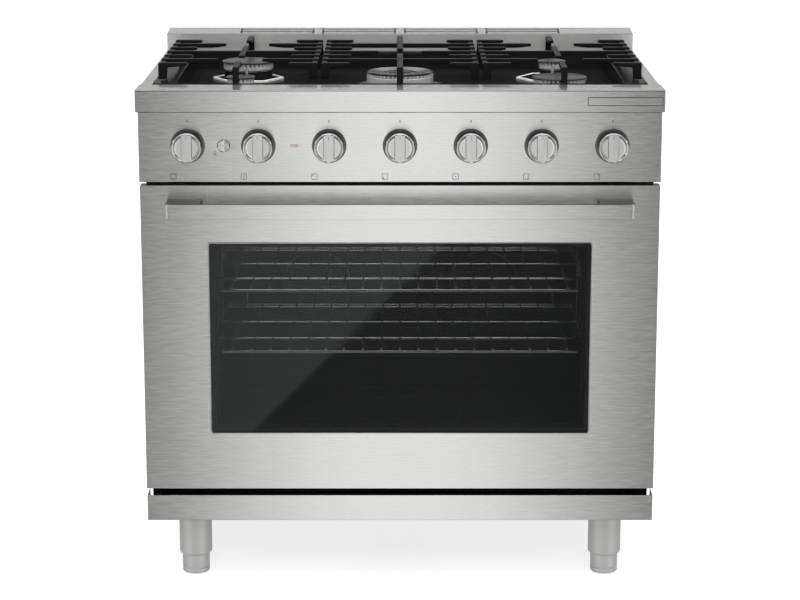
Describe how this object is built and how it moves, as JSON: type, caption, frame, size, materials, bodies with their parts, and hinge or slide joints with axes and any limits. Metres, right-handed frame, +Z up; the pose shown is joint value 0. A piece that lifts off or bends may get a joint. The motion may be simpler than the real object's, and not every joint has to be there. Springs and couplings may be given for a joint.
{
  "type": "freestanding gas range",
  "caption": "Freestanding gas range with open burners under cast grates, a row of knobs, a drop-down oven door with window and bar handle, and round feet.",
  "frame": {"origin": "on the floor under the middle of the bounding box", "axes": "+Z up, -Y towards the person who faces the door, +X to that person's right"},
  "size_m": [0.913, 0.69, 0.9315],
  "materials": {
    "brushed_stainless": "fine horizontal grain",
    "polished_stainless": "polished",
    "black_enamel": "glossy vitreous enamel",
    "cast_iron": "matt enamelled cast iron",
    "cast_aluminium": "machined and satin",
    "tinted_glass": "tinted, glossy",
    "lamp_glass": "frosted",
    "galvanised_steel": "galvanised",
    "seal_rubber": "matt",
    "mineral_wool": "fibrous",
    "valve_brass": "machined",
    "white_ceramic": "glazed",
    "black_plastic": "moulded",
    "red_lens": "translucent",
    "satin_steel": "satin, turned"
  },
  "bodies": {
    "body": {"back_panel": "galvanised_steel", "backguard": "brushed_stainless", "badge_plate": "polished_stainless", "base_pan": "galvanised_steel", "burner_bases": "galvanised_steel", "burner_heads": "cast_aluminium", "control_panel": "brushed_stainless", "cooktop_frame": "brushed_stainless", "door_gasket": "seal_rubber", "door_hinges": "polished_stainless", "fan_covers": "black_enamel", "fan_motors": "galvanised_steel", "front_trim": "brushed_stainless", "gas_pipework": "galvanised_steel", "gas_valves": "valve_brass", "igniters": "white_ceramic", "indicator_lens": "red_lens", "kick_panel": "brushed_stainless", "knob_bezels": "polished_stainless", "leg_sleeves": "satin_steel", "oven_burner": "galvanised_steel", "oven_insulation": "mineral_wool", "oven_lamp": "lamp_glass", "oven_liner": "black_enamel", "panel_screws": "polished_stainless", "power_inlet": "black_plastic", "rack_guides": "polished_stainless", "side_panels": "brushed_stainless", "spill_tray": "black_enamel"},
    "door": {"door_outer_frame": "brushed_stainless", "door_glass": "tinted_glass", "door_inner_panel": "black_enamel", "door_inner_glass": "tinted_glass", "handle_bar": "brushed_stainless", "handle_brackets": "brushed_stainless"},
    "light_button": {"light_button": "polished_stainless"},
    "rack_upper": {"oven_rack_upper": "polished_stainless"},
    "rack_lower": {"oven_rack_lower": "polished_stainless"},
    "fan_left": {"fan_left": "cast_aluminium"},
    "fan_right": {"fan_right": "cast_aluminium"},
    "knob_1": {"knob_1": "brushed_stainless"},
    "knob_2": {"knob_2": "brushed_stainless"},
    "knob_3": {"knob_3": "brushed_stainless"},
    "knob_4": {"knob_4": "brushed_stainless"},
    "knob_5": {"knob_5": "brushed_stainless"},
    "knob_6": {"knob_6": "brushed_stainless"},
    "knob_7": {"knob_7": "brushed_stainless"},
    "cap_core": {"cap_core": "black_enamel"},
    "cap_front_left": {"cap_front_left": "black_enamel"},
    "cap_front_right": {"cap_front_right": "black_enamel"},
    "cap_rear_left": {"cap_rear_left": "black_enamel"},
    "cap_rear_right": {"cap_rear_right": "black_enamel"},
    "cap_ring": {"cap_ring": "black_enamel"},
    "foot_front_left": {"foot_front_left": "satin_steel"},
    "foot_front_right": {"foot_front_right": "satin_steel"},
    "foot_rear_left": {"foot_rear_left": "satin_steel"},
    "foot_rear_right": {"foot_rear_right": "satin_steel"},
    "left_grate": {"left_grate": "cast_iron"},
    "centre_grate": {"centre_grate": "cast_iron"},
    "right_grate": {"right_grate": "cast_iron"}
  },
  "joints": [
    {"name": "door_swing", "type": "hinge", "parent": "body", "child": "door", "pos_m": [0, -0.269, 0.194], "axis": [1, 0, 0], "range_deg": [0, 90], "stiffness_Nm_per_rad": 22, "springref_deg": -17.19},
    {"name": "knob_1_turn", "type": "hinge", "parent": "body", "child": "knob_1", "pos_m": [-0.3669, -0.296, 0.797], "axis": [0, -1, 0], "range_deg": [-180, 0]},
    {"name": "knob_2_turn", "type": "hinge", "parent": "body", "child": "knob_2", "pos_m": [-0.2446, -0.296, 0.797], "axis": [0, -1, 0], "range_deg": [-285, 0]},
    {"name": "knob_3_turn", "type": "hinge", "parent": "body", "child": "knob_3", "pos_m": [-0.1223, -0.296, 0.797], "axis": [0, -1, 0], "range_deg": [0, 240]},
    {"name": "knob_4_turn", "type": "hinge", "parent": "body", "child": "knob_4", "pos_m": [0, -0.296, 0.797], "axis": [0, -1, 0], "range_deg": [0, 240]},
    {"name": "knob_5_turn", "type": "hinge", "parent": "body", "child": "knob_5", "pos_m": [0.1223, -0.296, 0.797], "axis": [0, -1, 0], "range_deg": [0, 240]},
    {"name": "knob_6_turn", "type": "hinge", "parent": "body", "child": "knob_6", "pos_m": [0.2446, -0.296, 0.797], "axis": [0, -1, 0], "range_deg": [0, 240]},
    {"name": "knob_7_turn", "type": "hinge", "parent": "body", "child": "knob_7", "pos_m": [0.3669, -0.296, 0.797], "axis": [0, -1, 0], "range_deg": [0, 240]},
    {"name": "light_button_press", "type": "slide", "parent": "body", "child": "light_button", "axis": [0, 1, 0], "range_m": [0, 0.003], "stiffness_N_per_m": 400, "springref_m": -0.002},
    {"name": "rack_upper_slide", "type": "slide", "parent": "body", "child": "rack_upper", "axis": [0, -1, 0], "range_m": [0, 0.025]},
    {"name": "rack_lower_slide", "type": "slide", "parent": "body", "child": "rack_lower", "axis": [0, -1, 0], "range_m": [0, 0.025]},
    {"name": "fan_left_spin", "type": "hinge", "parent": "body", "child": "fan_left", "pos_m": [-0.163, 0.184, 0.447], "axis": [0, 1, 0], "continuous": true},
    {"name": "fan_right_spin", "type": "hinge", "parent": "body", "child": "fan_right", "pos_m": [0.163, 0.184, 0.447], "axis": [0, 1, 0], "continuous": true},
    {"name": "left_grate_lift", "type": "slide", "parent": "body", "child": "left_grate", "axis": [0, 0, 1], "range_m": [0, 0.08]},
    {"name": "centre_grate_lift", "type": "slide", "parent": "body", "child": "centre_grate", "axis": [0, 0, 1], "range_m": [0, 0.08]},
    {"name": "right_grate_lift", "type": "slide", "parent": "body", "child": "right_grate", "axis": [0, 0, 1], "range_m": [0, 0.08]},
    {"name": "cap_core_lift", "type": "slide", "parent": "body", "child": "cap_core", "axis": [0, 0, 1], "range_m": [0, 0.012]},
    {"name": "cap_front_left_lift", "type": "slide", "parent": "body", "child": "cap_front_left", "axis": [0, 0, 1], "range_m": [0, 0.012]},
    {"name": "cap_front_right_lift", "type": "slide", "parent": "body", "child": "cap_front_right", "axis": [0, 0, 1], "range_m": [0, 0.012]},
    {"name": "cap_rear_left_lift", "type": "slide", "parent": "body", "child": "cap_rear_left", "axis": [0, 0, 1], "range_m": [0, 0.012]},
    {"name": "cap_rear_right_lift", "type": "slide", "parent": "body", "child": "cap_rear_right", "axis": [0, 0, 1], "range_m": [0, 0.012]},
    {"name": "cap_ring_lift", "type": "slide", "parent": "body", "child": "cap_ring", "axis": [0, 0, 1], "range_m": [0, 0.012]},
    {"name": "foot_front_left_level", "type": "slide", "parent": "body", "child": "foot_front_left", "axis": [0, 0, -1], "range_m": [0, 0.03]},
    {"name": "foot_front_right_level", "type": "slide", "parent": "body", "child": "foot_front_right", "axis": [0, 0, -1], "range_m": [0, 0.03]},
    {"name": "foot_rear_left_level", "type": "slide", "parent": "body", "child": "foot_rear_left", "axis": [0, 0, -1], "range_m": [0, 0.03]},
    {"name": "foot_rear_right_level", "type": "slide", "parent": "body", "child": "foot_rear_right", "axis": [0, 0, -1], "range_m": [0, 0.03]}
  ]
}
